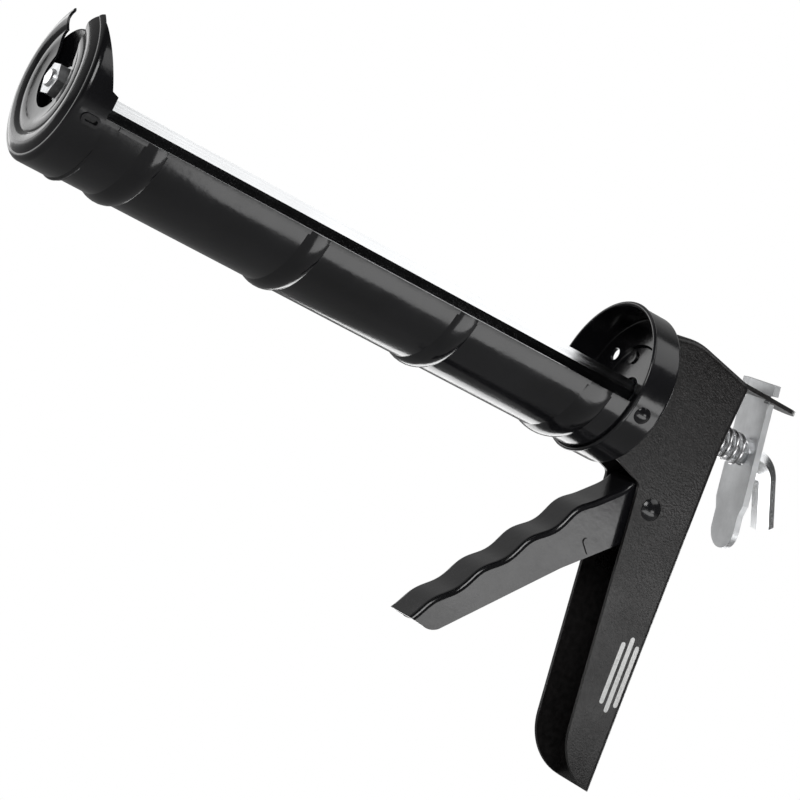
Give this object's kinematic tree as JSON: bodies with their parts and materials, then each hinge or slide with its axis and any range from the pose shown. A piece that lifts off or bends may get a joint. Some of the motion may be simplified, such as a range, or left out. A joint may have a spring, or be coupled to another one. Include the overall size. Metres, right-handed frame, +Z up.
{
  "type": "caulking gun",
  "caption": "Half-barrel caulking gun with ribbed cradle, slotted front cap, hexagonal push rod, squeeze trigger and rear release lever.",
  "frame": {"origin": "on the barrel axis in the plane of the cartridge seat, the front face of the rear cup's floor", "axes": "+X along the barrel towards the nozzle end, +Y to the gun's left side, +Z up, away from the handle"},
  "size_m": [0.3185, 0.0562, 0.1592],
  "materials": {
    "gloss_black_paint": "gloss",
    "hammered_black_paint": "hammered satin",
    "zinc_plated_steel": "bright zinc plate",
    "bright_rod_steel": "drawn and bright plated",
    "spring_steel": "bright wire"
  },
  "bodies": {
    "frame": {"cradle": "gloss_black_paint", "cradle_rivets": "gloss_black_paint", "rear_cup": "gloss_black_paint", "cup_rivets": "gloss_black_paint", "front_cap": "gloss_black_paint", "handle_frame": "hammered_black_paint", "trigger_pivot": "gloss_black_paint", "pivot_spacers": "zinc_plated_steel", "drive_spring_washer": "zinc_plated_steel", "drive_spring": "spring_steel", "lever_spring": "spring_steel"},
    "trigger": {"trigger": "gloss_black_paint"},
    "grip_plates": {"drive_plate_rear": "zinc_plated_steel", "drive_plate_front": "zinc_plated_steel"},
    "push_rod": {"rod": "bright_rod_steel", "piston_rear_washer": "zinc_plated_steel", "piston_plate": "gloss_black_paint", "piston_front_washer": "zinc_plated_steel", "piston_nut": "zinc_plated_steel"},
    "release_lever": {"release_lever": "zinc_plated_steel"}
  },
  "joints": [
    {"name": "trigger_squeeze", "type": "hinge", "parent": "frame", "child": "trigger", "pos_m": [-0.0236, 0, -0.0336], "axis": [0, 1, 0], "range_deg": [0, 24], "stiffness_Nm_per_rad": 2, "springref_deg": -8.59},
    {"name": "grip_plates_slide", "type": "slide", "parent": "frame", "child": "grip_plates", "axis": [1, 0, 0], "range_m": [0, 0.0109], "deforming": ["drive_spring"]},
    {"name": "rod_slide", "type": "slide", "parent": "frame", "child": "push_rod", "axis": [1, 0, 0], "range_m": [-0.215, 0]},
    {"name": "release_lever_tilt", "type": "hinge", "parent": "frame", "child": "release_lever", "pos_m": [-0.051, 0, 0.02025], "axis": [0, -1, 0], "range_deg": [0, 9], "stiffness_Nm_per_rad": 0.3, "springref_deg": -5.73, "deforming": ["lever_spring"]}
  ],
  "couplings": [
    {"joint": "grip_plates_slide", "follows": "trigger_squeeze", "m_per_rad": 0.0258}
  ]
}
